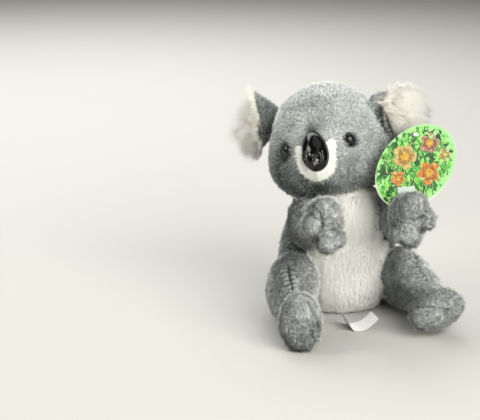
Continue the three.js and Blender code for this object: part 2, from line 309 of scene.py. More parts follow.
# Seams and folds, each with places on the body that it runs through, its half width, how deep it draws the
# cloth in, how high it gathers the cloth beside it, all in millimetres, and how far it parts the pile.
SEAMS = {
    "right_thigh_dart": ([(-50, -21, 46), (-54, -39, 40), (-56, -56, 33)], 1.2, 1.7, 1.5, 1.0),
    "left_thigh_dart": ([(44, -17, 44), (41, -36, 40), (42, -53, 33)], 1.4, 1.3, 0.7, 0.8),
    "right_foot_inside": ([(-53, -74, 36), (-48, -79, 25), (-43, -77, 12)], 1.1, 1.0, 0, 1.0),
    "left_foot_inside": ([(25, -66, 21), (24, -68, 14), (25, -68, 4)], 1.2, 1.2, 0, 0.9),
    "right_toe": ([(-66, -76, 20), (-60, -79, 24), (-52, -80, 23), (-47, -80, 17)], 1.0, 0.8, 0, 0.6),
    "left_toe": ([(25, -70, 22), (35, -80, 25), (50, -80, 21)], 1.0, 0.8, 0.3, 0.8),
    "right_thumb": (
        [(-47, -53, 88), (-45, -67, 96), (-41, -70, 88), (-42, -68, 81), (-45, -60, 74)], 1.0, 1.2, 0, 0.9
    ),
    "right_palm": ([(-40, -67, 79), (-35, -69, 81), (-29, -65, 79)], 1.0, 1.1, 0, 0.9),
    "right_finger": ([(-38, -70, 72), (-34, -68, 76)], 0.9, 0.8, 0, 0.7),
    "left_palm": ([(15, -57, 84), (17, -60, 81), (22, -65, 80), (28, -65, 78)], 1.0, 1.2, 0, 0.9),
    "left_finger": ([(23, -65, 81), (29, -65, 85), (34, -65, 90)], 1.0, 1.1, 0, 0.9),
    "left_thumb": ([(17, -60, 78), (14, -62, 71)], 0.9, 0.8, 0, 0.7),
    "brow": ([(-40, 20, 144), (-21, 4, 152), (5, 3, 151), (13, 2, 145)], 1.2, 0.4, 0, 0.35),
    "belly_fold": ([(-36, -36, 63), (-8, -21, 58), (25, -24, 59)], 5.0, 1.6, 0, 0.12),
}
SEAM_STEPS = 80
SEAM_ENDS = (0, 0.1, 0.88, 0.98)
GATHER = 4.8 * MM
GATHER_REACH = 7.5 * MM
GATHER_STRAY, GATHER_STRAY_SPAN = 1.2, 9 * MM
GATHER_BARES = 0.3


def seam_line(stops):
    """Close places on the body along a smooth line through the stops."""
    stops = np.array(stops) * MM
    pace = np.linspace(0, 1, len(stops))
    bends = [np.polyfit(pace, stops[:, k], len(stops) - 1) for k in range(3)]
    line = np.stack([np.polyval(bend, np.linspace(0, 1, SEAM_STEPS)) for bend in bends], 1)
    return np.array([body.find_nearest(Vector(point))[0] for point in line])


parted, relief = np.zeros(len(outer)), np.zeros(len(outer))
for stops, half, deep, gather, part in SEAMS.values():
    line = seam_line(stops)
    reach = max(2.5 * half * MM, GATHER_REACH * 2)
    near = np.flatnonzero(((outer > line.min(0) - reach) & (outer < line.max(0) + reach)).all(1))
    gaps = np.linalg.norm(outer[near, None] - line[None], axis=2)
    closest = gaps.argmin(1)
    gap = gaps[np.arange(len(near)), closest]
    ends = np.interp(closest / len(line), SEAM_ENDS, (0, 1, 1, 0))
    run = np.concatenate([[0], np.cumsum(np.linalg.norm(np.diff(line, axis=0), axis=1))])[closest]
    press = np.exp(-((gap / (half * MM)) ** 2)) * ends
    stray = GATHER_STRAY * waves(outer[near], GATHER_STRAY_SPAN, 3)[:, 0]
    swell = np.sin(2 * pi * run / GATHER + stray) * np.exp(-((gap / GATHER_REACH) ** 2))
    pucker = swell * (1 - press) * ends * gather
    depth[near] += (press * deep - pucker) * MM
    relief[near] += pucker
    crease[near] = np.maximum(crease[near], np.clip(press * part - GATHER_BARES * pucker, 0, 1))
    parted[near] = np.maximum(parted[near], press * part)

# The pile's depth is taken off, but never more than a third of what is there, so that thin rims stay whole.
THICKEST = 30 * MM
thick = np.ones(len(outer))
for i, (point, normal) in enumerate(zip(outer, outward)):
    hit = body.ray_cast(Vector(point - normal * 0.1 * MM), Vector(-normal), THICKEST)
    if hit[0]:
        thick[i] = hit[3]
depth = np.minimum(depth, thick / 3)
move_to(skin.data, outer - outward * depth[:, None])
modify(skin, "SMOOTH", factor=0.5, iterations=1)

# Each point of the skin belongs to the sewn panel whose CAD nodes it lies nearest.
PANELS = {"head": ["head"], "muzzle": ["muzzle"], "torso": ["torso"], "belly": ["belly"]}
for side in SIDES:
    PANELS[f"arm_{side}"] = [f"arm_{side}", f"paw_{side}"]
    PANELS[f"leg_{side}"] = [f"leg_{side}", f"foot_{side}"]
    PANELS[f"sole_{side}"] = [f"sole_{side}"]
    PANELS[f"ear_{side}"] = [f"ear_{side}", f"ear_pile_{side}"]
    PANELS[f"cup_{side}"] = []
number_of = {name: number for number, name in enumerate(PANELS)}
soft_points, soft_faces, soft_panel = [], [], []
for panel_name, names in PANELS.items():
    for name in names:
        mesh = NODES[name].data
        soft_faces += [[v + len(soft_points) for v in p.vertices] for p in mesh.polygons]
        soft_panel += [number_of[panel_name]] * len(mesh.polygons)
        soft_points += [v.co for v in mesh.vertices]
soft_tree = BVHTree.FromPolygons(soft_points, soft_faces)
nearest = np.array([soft_panel[soft_tree.find_nearest(Vector(point))[2]] for point in outer])

# The white belly cloth wraps round a little past its solid, into the creases at the arm and the leg, but not
# out behind the arm: it ends further forward below the arm's root, at ARM_BELLY, than beside it.
BELLY_WRAP = {"left": 12 * MM, "right": 3 * MM}
BELLY_WRAP_END = (-5 * MM, 11 * MM)
BELLY_WRAP_TOP = 78 * MM
ARM_BELLY = 47 * MM
belly_tree = tree_of("belly")
wrap_end = np.clip(BELLY_WRAP_END[0] + outer[:, 2] - ARM_BELLY, *BELLY_WRAP_END)
within = (outer[:, 1] < wrap_end) & (outer[:, 2] < BELLY_WRAP_TOP)
for i in np.flatnonzero((nearest == number_of["torso"]) & within):
    wrap = BELLY_WRAP["left" if outer[i, 0] > 0 else "right"]
    if belly_tree.find_nearest(Vector(outer[i]), wrap)[0]:
        nearest[i] = number_of["belly"]

# The white muzzle cloth is a rim round the nose, which widens upwards from MUZZLE_RIM_FROM.
MUZZLE_RIM = 6.5 * MM
MUZZLE_RIM_FROM = 112 * MM
MUZZLE_RIM_RISE = 1.5
nose_tree = tree_of("nose")
for i in np.flatnonzero(nearest == number_of["muzzle"]):
    rim = MUZZLE_RIM + MUZZLE_RIM_RISE * max(0, outer[i, 2] - MUZZLE_RIM_FROM)
    if not nose_tree.find_nearest(Vector(outer[i]), rim)[0]:
        nearest[i] = number_of["head"]


def centre(*names):
    """The middle of the box round some CAD nodes."""
    corners = [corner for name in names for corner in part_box(name)]
    return (np.min(corners, 0) + np.max(corners, 0)) / 2


def ear_frame(side):
    """The middle of an ear, the way that it opens, and the way along its face from the head."""
    hold = centre(f"ear_{side}")
    face = centre(f"ear_pile_{side}") - hold
    face /= np.linalg.norm(face)
    clear_of_head = hold - centre("head")
    clear_of_head -= (clear_of_head @ face) * face
    return hold, face, clear_of_head / np.linalg.norm(clear_of_head)


# The long pile fills the open face of each ear, apart from a strip next to the head. The panels' edges are
# then blurred, so that each point has a share of each panel.
EAR_STRIP = {"left": -9 * MM, "right": -16 * MM}
EAR_FACES = 0.35
BLUR_ROUNDS = 8
for side in SIDES:
    hold, face, from_head = ear_frame(side)
    in_ear = nearest == number_of[f"ear_{side}"]
    cup = in_ear & (outward @ face > EAR_FACES) & ((outer - hold) @ from_head > EAR_STRIP[side])
    nearest[cup] = number_of[f"cup_{side}"]
shares = relaxed(skin.data, np.eye(len(PANELS))[nearest], BLUR_ROUNDS)
share_of = dict(zip(PANELS, shares.T))


def plush(name, colours, patch, through=0):
    """Plush pile: fine polyester fibres, from a painted shade for creases and darker roots, painted shade deep
    in the pile, to their pale tips. Patches of that size vary it a little, and long fibres let light through."""
    made, tree = material(name)
    tone = node(tree, "Attribute", attribute_name="tone").outputs["Fac"]
    place = node(tree, "TexCoord").outputs["Object"]
    patches = node(tree, "TexNoise", place, Scale=1 / patch, Detail=3.0)
    shift = node(tree, "Math", patches, 0.5, -0.25, operation="MULTIPLY_ADD")
    level = node(tree, "Math", tone, shift, operation="ADD")
    colour = node(tree, "ValToRGB", level, stops=tuple(zip((0, 0.2, 0.55, 0.95), colours)))
    sheen = {"Sheen_Weight": 0.2, "Sheen_Roughness": 0.45}
    shader = node(tree, "BsdfPrincipled", colour, Roughness=0.75, Specular_IOR_Level=0.25, **sheen)
    if through:
        shader = node(tree, "MixShader", through, shader, node(tree, "BsdfTranslucent", colour))
    node(tree, "OutputMaterial", shader)
    return made


grey_pile = plush("polyester_pile_grey", ("#282c2c", "#5a6160", "#a5aaa7", "#edefeb"), 14 * MM)
white_pile = plush("polyester_pile_white", ("#7d7868", "#e9e8de", "#fbfbf4", "#fffffc"), 14 * MM)

# How much paler or darker the pile is, mostly painted light and shade. It has painted highlights on tight
# curves, on the ridges of gathers and on the crown, and painted shade in the gathers' hollows, on the jaw, in
# the armpits and on the limbs' dark side. It is darkest in the lids and over the nose: dark fur, and painted
# shade in the lids.
# Each of the DABS has a place and a reach in millimetres and how dark it is. SHADED darkens whole panels.
CURVES_PAINTED_LIGHT, GATHERS_PAINTED_SHADING = 0.03, 0.2
FACE_PAINTED_SHADING = 0.2
FACE_PAINTED_SHADING_ENDS = (-1, 0.4)
FACE_SPAN = 28 * MM
ARM_FROM, ARM_SPAN, ARM_PAINTED_SHADE = 24 * MM, 14 * MM, 0.25
LID = {"left": 1.4 * MM, "right": 2.6 * MM}
LID_SHADE = 0.75
LID_PARTS = 0.8
# over_nose is dark fur; the chin, right_cheek and both armpit dabs are painted shade.
DABS = {
    "over_nose": ((-28, -3, 134), 4.5, 0.8),
    "chin": ((-26, -20, 97), 7, 0.25),
    "right_cheek": ((-48, 14, 98), 20, 0.22),
    "right_armpit": ((-44, 0, 57), 20, 0.4),
    "left_armpit": ((44, 0, 57), 14, 0.2),
}
# SHADED: painted light on the limbs, the left sole and the belly, painted shade on the torso, the right sole
# and the right ear's back.
SHADED = {
    "torso": 0.08,
    "belly": -0.15,
    "arm_left": -0.08,
    "arm_right": -0.12,
    "leg_left": -0.06,
    "leg_right": -0.1,
    "sole_left": -0.08,
    "sole_right": 0.1,
    "ear_right": 0.12,
}
# Painted highlights on tight curves and on the ridges of gathers, painted shade in the gathers' hollows.
bulge = np.clip((-hollow - CREASE_LEAST) / CREASE_SPAN, 0, 1)
shade = CURVES_PAINTED_LIGHT * bulge + GATHERS_PAINTED_SHADING * relief
# Painted light and shade on the head: paler above the nose, darker below it towards the jaw.
above_nose = (outer[:, 2] - centre("nose")[2]) / FACE_SPAN
shade += FACE_PAINTED_SHADING * share_of["head"] * np.clip(above_nose, *FACE_PAINTED_SHADING_ENDS)
for name, amount in SHADED.items():
    shade -= amount * share_of[name]
# Painted shade on the right upper arm, deeper away from the paw.
upper_arm = np.clip((np.linalg.norm(outer - centre("paw_right"), axis=1) - ARM_FROM) / ARM_SPAN, 0, 1)
shade -= ARM_PAINTED_SHADE * upper_arm * share_of["arm_right"]
# The lids are darker, partly dark fur and partly painted shade of the eye sockets, and the pile parts round
# the eyes.
for side in SIDES:
    eye = centre(f"eye_{side}")
    rim = (np.linalg.norm(outer - eye, axis=1) - np.ptp(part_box(f"eye_{side}"), axis=0).max() / 2) / LID[side]
    lid = np.exp(-np.maximum(rim, 0) ** 2)
    shade -= LID_SHADE * lid
    crease = np.maximum(crease, LID_PARTS * lid)
    parted = np.maximum(parted, LID_PARTS * lid)
for dab, reach, amount in DABS.values():
    shade -= amount * np.exp(-((np.linalg.norm(outer - np.array(dab) * MM, axis=1) / (reach * MM)) ** 2))

# The skin is darker along seams and, as painted shade, in creases, and takes the painted light and shade
# above.
SKIN_TONE, SKIN_DARK = 0.45, 0.4
SKIN_SUNK = 0.35
WHITE_PANELS = ("muzzle", "belly", "cup_left", "cup_right")
tone = SKIN_TONE - SKIN_DARK * np.maximum(parted, SKIN_SUNK * crease) + shade
skin.data.attributes.new("tone", "FLOAT", "POINT").data.foreach_set("value", tone)
skin.data.materials.append(grey_pile)
skin.data.materials.append(white_pile)
white = np.isin(shares.argmax(1), [number_of[name] for name in WHITE_PANELS])
corners = np.array([p.vertices[0] for p in skin.data.polygons])
skin.data.polygons.foreach_set("material_index", white[corners].astype(int))
skin.data.polygons.foreach_set("use_smooth", np.ones(len(corners), bool))
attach(skin, "root")
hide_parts(*GREY_NODES, *WHITE_NODES)

# ---- Coat ----
# Short polyester pile, sheared to one length and brushed along each panel. Its fibres stand in small locks
# whose tips meet, and it parts over the seams. Each fibre has a PATCH of its panel's map.
BAKE_MAP = "OFBake"
PATCH = 0.0017
PARTED = 1.1 * MM
MINGLE, MINGLE_FROM = 0.06, 0.1
NAP_ROUNDS = 5
WIDTH_SPREAD = 0.15
FLOOR_GAP = 0.1 * MM
parting = -PARTED * slope(skin.data, parted)
smoothed = relaxed(skin.data, normals(skin.data), NAP_ROUNDS)


def panel(name, mask):
    """The part of the skin with these points as a mesh of its own, flattened into its own map."""
    mesh = skin.data
    sides = np.empty(len(mesh.loops), int)
    mesh.loops.foreach_get("vertex_index", sides)
    sides = sides.reshape(-1, 4)
    kept = sides[mask[sides[:, 0]]]
    used, kept = np.unique(kept, return_inverse=True)
    made = bpy.data.meshes.new(name)
    made.from_pydata(places(mesh)[used], [], kept.reshape(-1, 4).tolist())
    obj = bpy.data.objects.new(name, made)
    bpy.context.collection.objects.link(obj)
    only(obj)
    bpy.ops.object.mode_set(mode="EDIT")
    bpy.ops.mesh.select_all(action="SELECT")
    bpy.ops.uv.smart_project(angle_limit=radians(66), island_margin=0.004)
    bpy.ops.object.mode_set(mode="OBJECT")
    return obj, used


def sown(name, mask, spacing, draw, share, **fields):
    """Roots strewn over a panel at that mean spacing: places, normals, map points and other fields of the
    skin. They thin out where the panel's share falls through a half, so that panels mingle at a seam."""
    obj, used = panel(name, mask & (share > MINGLE_FROM))
    mesh = obj.data
    corner = np.empty(len(mesh.loops), int)
    mesh.loops.foreach_get("vertex_index", corner)
    spot = np.empty(len(mesh.loops) * 2)
    mesh.uv_layers.active.data.foreach_get("uv", spot)
    quads, spots = corner.reshape(-1, 4), spot.reshape(-1, 4, 2)
    thirds = np.concatenate([quads[:, [0, 1, 2]], quads[:, [0, 2, 3]]])
    spots = np.concatenate([spots[:, [0, 1, 2]], spots[:, [0, 2, 3]]])
    points = places(mesh)
    a, b, c = points[thirds].transpose(1, 0, 2)
    area = np.linalg.norm(np.cross(b - a, c - a), axis=1) / 2
    count = int(area.sum() / spacing**2)
    chosen = draw.choice(len(area), count, p=area / area.sum())
    u, v = draw.random((2, count))
    over = u + v > 1
    u[over], v[over] = 1 - u[over], 1 - v[over]
    weight = np.stack([1 - u - v, u, v], 1)[:, :, None]
    whole = used[thirds[chosen]]
    found = {
        "at": (places(skin.data)[whole] * weight).sum(1),
        "out": (smoothed[whole] * weight).sum(1),
        "spot": (spots[chosen] * weight).sum(1),
    }
    for field, values in fields.items():
        found[field] = (values.reshape(len(outer), -1)[whole] * weight).sum(1)
    found["out"] /= np.linalg.norm(found["out"], axis=1, keepdims=True)
    bpy.data.objects.remove(obj)
    bpy.data.meshes.remove(mesh)
    kept = (share[whole] * weight[:, :, 0]).sum(1) + MINGLE * draw.normal(size=count) > 0.5
    return {field: values[kept] for field, values in found.items()}


def unit(vectors):
    """The vectors, each made one long."""
    return vectors / np.maximum(np.linalg.norm(vectors, axis=1, keepdims=True), 1e-9)


def fibres(name, paths, out, width, tones, spots, finish, softness):
    """Closed three-sided fibres along paths, each from its root to its tip, with a flat side turned outwards.
    Softness turns their normals from their own sides to the way out, as one soft surface has them."""
    count, rings = paths.shape[0], paths.shape[1] - 1
    along = unit(paths[:, -1] - paths[:, 0])
    side = unit(np.cross(out, along))
    top = np.cross(along, side)
    angles = 2 * pi * np.array([1, 5, 9]) / 12
    around = side[:, None] * np.cos(angles)[:, None] + top[:, None] * np.sin(angles)[:, None]
    taper = 1 - np.arange(rings) / rings
    ring = paths[:, :-1, None] + around[:, None] * (width[:, None] * taper / 2)[:, :, None, None]
    points = np.concatenate([ring.reshape(count, -1, 3), paths[:, -1:]], 1)
    points[:, :, 2] = np.maximum(points[:, :, 2], FLOOR_GAP)
    star = np.stack([np.cos(angles), np.sin(angles)], 1) * PATCH
    laid = np.concatenate([(star[None] * taper[:, None, None]).reshape(-1, 2), np.zeros((1, 2))])
    laid = spots[:, None] + laid[None]
    level = np.concatenate([np.repeat(tones[:, :-1], 3, axis=1), tones[:, -1:]], 1)

    faces = [[0, 2, 1]]
    for r in range(rings - 1):
        for k in range(3):
            a, b = 3 * r + k, 3 * r + (k + 1) % 3
            faces += [[a, b, b + 3], [a, b + 3, a + 3]]
    tip = 3 * rings
    faces += [[tip - 3 + k, tip - 3 + (k + 1) % 3, tip] for k in range(3)]
    faces = np.array(faces)
    corner = (np.arange(count)[:, None, None] * (tip + 1) + faces).ravel()

    mesh = bpy.data.meshes.new(name)
    mesh.vertices.add(count * (tip + 1))
    mesh.vertices.foreach_set("co", points.ravel())
    mesh.loops.add(len(corner))
    mesh.loops.foreach_set("vertex_index", corner)
    mesh.polygons.add(len(corner) // 3)
    mesh.polygons.foreach_set("loop_start", np.arange(0, len(corner), 3))
    mesh.update(calc_edges=True)
    mesh.polygons.foreach_set("use_smooth", np.ones(len(corner) // 3, bool))
    plain = normals(mesh).reshape(count, -1, 3)
    soft = plain + softness * unit(out + 0.3 * top)[:, None]
    mesh.normals_split_custom_set_from_vertices(unit(soft.reshape(-1, 3)))
    mesh.uv_layers.new(name=BAKE_MAP).data.foreach_set("uv", laid[:, faces].ravel())
    mesh.attributes.new("tone", "FLOAT", "POINT").data.foreach_set("value", level.ravel())
    mesh.materials.append(finish)
    obj = bpy.data.objects.new(name, mesh)
    bpy.context.collection.objects.link(obj)
    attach(obj, "root")
    return obj


def locks(points, spacing, draw):
    """For each point, the number of the point that leads its lock. Leaders lie about spacing apart, on an
    area that a panel's box gives."""
    wide, deep, high = np.ptp(points, axis=0)
    area = 0.6 * (wide * deep + deep * high + wide * high)
    step = max(1, int(len(points) * spacing**2 / area))
    leads = draw.permutation(len(points))[: max(1, len(points) // step)]
    tree = KDTree(len(leads))
    for lead in leads:
        tree.insert(points[lead], lead)
    tree.balance()
    return np.array([tree.find(point)[1] for point in points])


FIBRE_SPACING = 0.53 * MM
FIBRE_WIDTH = 0.42 * MM
LOCK_SPACING = 1.5 * MM
ROOT_SINK = 0.3 * MM
HARD = {name: tree_of(name) for name in ["nose", "eye_left", "eye_right", "swing_tag", "care_label"]}
HARD_REACH = 6 * MM


def clear(roots, tips):
    """Which fibres keep out of the moulded eyes and nose, the tag and the label, with a tenth to spare."""
    free = np.ones(len(roots), bool)
    for name, tree in HARD.items():
        low, high = [np.array(corner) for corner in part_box(name)]
        near = ((roots > low - HARD_REACH) & (roots < high + HARD_REACH)).all(1)
        for i in np.flatnonzero(near):
            way = Vector(tips[i] - roots[i])
            if tree.ray_cast(Vector(roots[i]), way, way.length * 1.1)[0]:
                free[i] = False
    return free


# How uneven the pile is, for a whole lock and for a single fibre: where it leans, how far it lifts in
# degrees, how long it is and how pale its tip is. Roots are darker than tips, as painted shade deep in the
# pile.
# In a crease it is shorter, and darker at root and tip as painted shade.
LEAN_SPREAD, LEAN_WAVE = (0.14, 0.12), 0.4
LEAN_SPAN = 9 * MM
LIFT_SPREAD, LIFT_ENDS = (9, 5), (8, 75)
LENGTH_SPREAD = (0.1, 0.12)
ROOT_TONE, ROOT_SPREAD = 0.2, 0.05
TIP_TONE, TIP_SPREAD = 0.74, (0.11, 0.19)
CREASE_SHORT, CREASE_PAINTED_SHADE = 0.6, (0.25, 0.2)
LOCKS_FROM, LOCKS_FULL = 0.54, 0.74


def coat(
    name, panels, nap, slot, finish, length, seed,
    lift=38, unrest=1.0, border=1.5 * MM, where=True, soft=1.3, pull=0.3, sunk=0.35, mottle=1.0,
):
    """A panel's coat of short straight fibres, which lean along the nap and in from its border. Locks pull
    their tips together, unrest and mottle scale how uneven they are, and sunk is how far creases show, in
    shorter fibres and in painted crease shade."""
    draw = np.random.default_rng(seed)
    share = sum(share_of[panel] for panel in panels)
    lean = parting + border * slope(skin.data, share)
    deep = np.maximum(parted, sunk * crease)
    root = sown(name, where, FIBRE_SPACING, draw, share, deep=deep, shade=shade, lean=lean, inside=share)
    at, out, deep_here, shade_here = root["at"], root["out"], root["deep"][:, 0], root["shade"][:, 0]
    lead = locks(at, LOCK_SPACING, draw)
    own = draw.normal(size=(len(at), 3))
    stray = LEAN_WAVE * waves(at, LEAN_SPAN, seed) + LEAN_SPREAD[0] * own[lead] + LEAN_SPREAD[1] * own
    way = unit(nap(at)) + unrest * stray + root["lean"]
    way -= (way * out).sum(1, keepdims=True) * out
    tilt = lift + LIFT_SPREAD[0] * own[lead, 0] + LIFT_SPREAD[1] * own[:, 1]
    tilt = np.radians(np.clip(tilt, *LIFT_ENDS))[:, None]
    way = unit(way) * np.cos(tilt) + out * np.sin(tilt)
    uneven = np.exp(LENGTH_SPREAD[1] * own[:, 2] + LENGTH_SPREAD[0] * own[lead, 2])
    tip = at + way * (length * (1 - CREASE_SHORT * deep_here) * uneven)[:, None]
    gather = np.clip((root["inside"] - LOCKS_FROM) / (LOCKS_FULL - LOCKS_FROM), 0, 1)
    tip += pull * gather * (tip[lead] - tip)
    start = at - out * ROOT_SINK
    base = ROOT_TONE + ROOT_SPREAD * own[:, 0] - CREASE_PAINTED_SHADE[0] * deep_here + shade_here
    speckle = TIP_SPREAD[0] * own[lead, 1] + TIP_SPREAD[1] * own[:, 0]
    end = TIP_TONE + unrest * mottle * speckle - CREASE_PAINTED_SHADE[1] * deep_here + shade_here
    free = clear(at, tip)
    paths = np.stack([start, tip], 1)[free]
    tones = np.stack([base, end], 1)[free]
    wide = FIBRE_WIDTH * np.exp(WIDTH_SPREAD * own[:, 1])
    obj = fibres(name, paths, out[free], wide[free], tones, root["spot"][free], finish, soft)


def flow(way):
    """A nap that runs one way all over."""
    return lambda points: np.broadcast_to(np.asarray(way, float), points.shape)


def away(point, drop):
    """A nap that runs away from a point and down."""
    return lambda points: unit(points - point) + (0, 0, -drop)


nose_tip, middle = centre("nose"), centre("head")
across = centre("eye_left") - centre("eye_right")
on_left = (places(skin.data) - middle) @ across > 0
grey, pale = ("grey_pile", grey_pile), ("white_pile", white_pile)
from_nose, down = away(nose_tip, 0.3), flow((0, 0, -1))
head = {"lift": 35, "unrest": 0.75, "mottle": 0.6}
coat("coat_head_left", ["head"], from_nose, *grey, 2.8 * MM, 11, where=on_left, **head)
coat("coat_head_right", ["head"], from_nose, *grey, 2.8 * MM, 12, where=~on_left, **head)
coat("coat_muzzle", ["muzzle"], from_nose, *pale, 2.4 * MM, 13, unrest=0.6, border=0, pull=0.2, sunk=0.3)
coat("coat_torso", ["torso"], down, *grey, 3.4 * MM, 14, unrest=0.8)
belly = {"lift": 32, "unrest": 0.5, "border": 0, "soft": 1.4, "pull": 0.1, "sunk": 0.25, "mottle": 0.4}
coat("coat_belly", ["belly"], down, *pale, 4.2 * MM, 15, **belly)
limb = {"length": 3.6 * MM, "mottle": 0.95, "pull": 0.2}
for i, side in enumerate(SIDES):
    reach = unit((centre(f"paw_{side}") - centre(f"arm_{side}"))[None])[0]
    nap = flow(reach + (0, 0, -0.3))
    coat(f"coat_arm_{side}", [f"arm_{side}"], nap, *grey, seed=21 + i, lift=31, sunk=0.8, **limb)
    reach = unit((centre(f"foot_{side}") - centre(f"leg_{side}"))[None])[0]
    parts = [f"leg_{side}", f"sole_{side}"]
    coat(f"coat_leg_{side}", parts, flow(reach), *grey, seed=31 + i, lift=32, sunk=0.3, **limb)
    coat(f"coat_ear_{side}", [f"ear_{side}"], away(middle, 0.2), *grey, 2.8 * MM, 41 + i)

# ---- Ear tufts ----
# Long white pile sewn into the open face of each ear. It stands straight out in the middle and falls over
# the rim at the sides, in soft pointed locks with loose fibres between them.
TUFT_SPACING = 0.31 * MM
TUFT_WIDTH = 0.36 * MM
TUFT_LOCK = 2.9 * MM
TUFT_LEAST, TUFT_MOST, TUFT_PLAIN = 9 * MM, 20 * MM, 8 * MM
TUFT_SPREAD = 1.1
TUFT_STRAY = (0.1, 0.14)
TUFT_WAVE, TUFT_WAVE_SPAN = 0.25, 12 * MM
TUFT_SAG, TUFT_BOW, TUFT_CURL = 0.14, 0.1, 0.06
# TUFT_TONES go from root through middle to tip; the darker roots are painted shade in the gaps between the
# locks.
TUFT_TONES, TUFT_SPECKLE = (0.2, 0.6, 0.85), (0.1, 0.22)
LOW_DROP, LOW_SPAN = 0.6, 14 * MM
LOOSE = 0.45
TUFT_CORE, FAR_OUT = 5 * MM, 40 * MM


def ear_tuft(side, seed):
    """The long pile of one ear, whose longest fibres reach a little past the solid that stands for it."""
    draw = np.random.default_rng(seed)
    hold, face, from_head = ear_frame(side)
    cup = share_of[f"cup_{side}"]
    root = sown(f"ear_tuft_{side}", True, TUFT_SPACING, draw, cup)
    at, out = root["at"], root["out"]
    own = draw.normal(size=(len(at), 3))
    lead = locks(at, TUFT_LOCK, draw)
    aside = at - hold
    aside -= (aside @ face)[:, None] * face
    spread = aside / np.linalg.norm(aside, axis=1).max()
    low = np.clip(-aside[:, 2] / LOW_SPAN, 0, 1)[:, None]
    way = face + TUFT_SPREAD * spread - LOW_DROP * low * from_head
    way += TUFT_STRAY[0] * own[lead] + TUFT_STRAY[1] * own
    way = unit(way + TUFT_WAVE * waves(at, TUFT_WAVE_SPAN, seed))
    dome = tree_of(f"ear_pile_{side}")
    long = np.empty(len(at))
    for i, (point, toward) in enumerate(zip(at, way)):
        far = dome.ray_cast(Vector(point + toward * FAR_OUT), Vector(-toward), FAR_OUT)
        long[i] = FAR_OUT - far[3] if far[0] else TUFT_PLAIN
    long = np.clip(long, TUFT_LEAST, TUFT_MOST) * draw.uniform(0.8, 1.3, len(at))
    long = (long * (1 + 0.07 * own[lead, 0]))[:, None]
    tip = at + way * long
    pull = np.where(draw.random((len(at), 1)) < LOOSE, 0, 0.3)
    tip += pull * (tip[lead] - tip)
    tip[:, 2] -= TUFT_SAG * long[:, 0]
    start = at - out * ROOT_SINK
    bend = (start + tip) / 2 + face * long * TUFT_BOW + TUFT_CURL * long * waves(at, 6 * MM, seed + 5)
    paths = np.stack([start, start / 4 + bend / 2 + tip / 4, tip], 1)
    free = clear(at, tip)
    tones = np.array(TUFT_TONES) + (TUFT_SPECKLE[0] * own[lead, 1] + TUFT_SPECKLE[1] * own[:, 2])[:, None]
    wide = TUFT_WIDTH * np.exp(WIDTH_SPREAD * own[:, 1])
    core = hold + TUFT_CORE * face
    turned = unit(unit(tip - core) + 0.25 * own[lead] + (0, 0, 0.25))[free]
    spots = root["spot"][free]
    obj = fibres(f"ear_tuft_{side}", paths[free], turned, wide[free], tones[free], spots, ear_pile, 0.9)
    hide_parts(f"ear_pile_{side}")


LONG_WHITES = ("#cdc4ad", "#f3edda", "#fffdf4", "#fffffc")
ear_pile = plush("polyester_long_pile_white", LONG_WHITES, 12 * MM, through=0.3)
for i, side in enumerate(SIDES):
    ear_tuft(side, 51 + i)

# ---- Eyes and nose ----
# Black plastic, injection moulded and tumbled bright: two domed eyes, and a nose with two nostrils pressed
# in. Each has a shank behind it that a washer locks inside the head.
NOSTRIL_APART = 4.6 * MM
NOSTRIL_BELOW = 3.5 * MM
NOSTRIL_SIZE = (1.9 * MM, 3.4 * MM)
NOSTRIL_DEPTH = 1.5 * MM
NOSTRIL_RIM, NOSTRIL_RIM_AT, NOSTRIL_RIM_WIDE = 0.35 * MM, 1.45, 0.3
FAR_OFF = 9


def black_plastic():
    """Polished black ABS. Its gloss shows the lamps, and a faint ripple from the mould bends them."""
    made, tree = material("black_abs_polished")
    place = node(tree, "TexCoord").outputs["Object"]
    smears = node(tree, "TexNoise", place, Scale=1 / (3 * MM), Detail=4.0)
    gloss = node(tree, "MapRange", smears, To_Min=0.05, To_Max=0.16)
    ripple = node(tree, "TexNoise", place, Scale=1 / (5 * MM), Detail=1.0)
    bump = node(tree, "Bump", Height=ripple, Strength=0.12, Distance=0.4 * MM)
    tint = node(tree, "Mix", data_type="RGBA", Factor=smears, A="#040404", B="#0b0a0a")
    shader = node(tree, "BsdfPrincipled", tint, Roughness=gloss, Normal=bump, IOR=1.44)
    node(tree, "OutputMaterial", shader)
    return made


def rounded(name):
    """A smooth copy of a CAD node, at the size of the node itself."""
    obj = welded(name)
    obj.name = obj.data.name = f"{name}_moulded"
    was = places(obj.data)
    modify(obj, "SUBSURF", levels=3, render_levels=3)
    now = places(obj.data)
    middle = was.mean(0)
    grow = np.ptp(was, axis=0) / np.ptp(now, axis=0)
    move_to(obj.data, middle + (now - middle) * grow)
    only(obj)
    bpy.ops.object.shade_smooth()
    obj.data.materials.append(bright_black)
    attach(obj, "root")
    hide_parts(name)
    return obj


bright_black = black_plastic()
for side in SIDES:
    rounded(f"eye_{side}")
nose = rounded("nose")
ahead = (nose_tip - middle) * (1, 1, 0)
ahead /= np.linalg.norm(ahead)
beside = np.cross((0, 0, 1), ahead)
surface, outwards = places(nose.data), normals(nose.data)
offset = surface - nose_tip
for way in (-1, 1):
    sideways = (offset @ beside - way * NOSTRIL_APART) / NOSTRIL_SIZE[0]
    off = np.hypot(sideways, (offset[:, 2] + NOSTRIL_BELOW) / NOSTRIL_SIZE[1])
    off = np.where(offset @ ahead > 0, off, FAR_OFF)
    rim = NOSTRIL_RIM * np.exp(-(((off - NOSTRIL_RIM_AT) / NOSTRIL_RIM_WIDE) ** 2))
    press = NOSTRIL_DEPTH * np.exp(-(off**4)) - rim
    surface = surface - outwards * press[:, None]
move_to(nose.data, surface)

